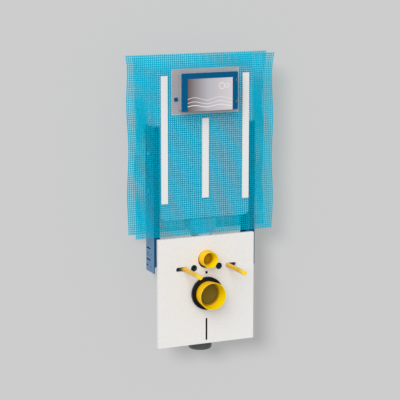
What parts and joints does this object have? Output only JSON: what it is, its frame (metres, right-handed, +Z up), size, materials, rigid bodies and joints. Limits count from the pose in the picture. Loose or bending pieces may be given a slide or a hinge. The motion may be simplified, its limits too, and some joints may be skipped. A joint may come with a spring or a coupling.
{
  "type": "wall hung toilet frame",
  "caption": "Frame for a wall hung toilet: flat cistern between two steel legs, plaster net, service box, foam panel, fixing rods, flush and drain bends.",
  "frame": {"origin": "middle of the rear crossbar's back face, level with the fixing rods, 320 mm above the finished floor", "axes": "+X to the right seen from the front, +Y to the back into the wall, +Z up"},
  "size_m": [0.5743, 0.2582, 1.131],
  "materials": {
    "steel_blue": "satin powder coat",
    "steel_dark": "satin powder coat",
    "zinc": "zinc plated",
    "clip_grey": "moulded",
    "sleeve_yellow": "moulded",
    "cap_yellow": "moulded",
    "foam_white": "beaded foam",
    "tank_grey": "blow moulded",
    "fitting_grey": "moulded",
    "pipe_black": "smooth pipe",
    "ring_black": "moulded",
    "insert_black": "moulded",
    "box_grey": "moulded",
    "cover_blue": "moulded",
    "card_print": "printed card",
    "net_blue": "open plastic net",
    "strip_white": "foam strip"
  },
  "bodies": {
    "root": {"leg_left": "steel_blue", "leg_right": "steel_blue", "leg_clip_left": "clip_grey", "leg_clip_right": "clip_grey", "anchor_pad_left": "ring_black", "anchor_pad_right": "ring_black", "rear_crossbar": "steel_blue", "fixing_plate": "steel_dark", "rod_left": "zinc", "rod_right": "zinc", "rod_nuts": "zinc", "sleeve_left": "sleeve_yellow", "sleeve_right": "sleeve_yellow", "insulation_panel": "foam_white", "panel_inserts": "insert_black", "cistern": "tank_grey", "outlet_collar": "tank_grey", "union_nut": "fitting_grey", "flush_bend": "pipe_black", "flush_socket": "pipe_black", "flush_cap": "cap_yellow", "drain_socket": "ring_black", "drain_bend": "pipe_black", "drain_pipe": "pipe_black", "drain_cap": "cap_yellow", "drain_holder": "ring_black", "drain_clamp": "zinc", "clamp_arms": "steel_blue", "box_flange": "box_grey", "flange_plug": "cover_blue", "box_body": "box_grey", "box_cover": "cover_blue", "box_card": "card_print", "net_front": "net_blue", "net_back": "net_blue", "strip_left": "strip_white", "strip_right": "strip_white", "strip_middle": "strip_white"}
  },
  "joints": []
}
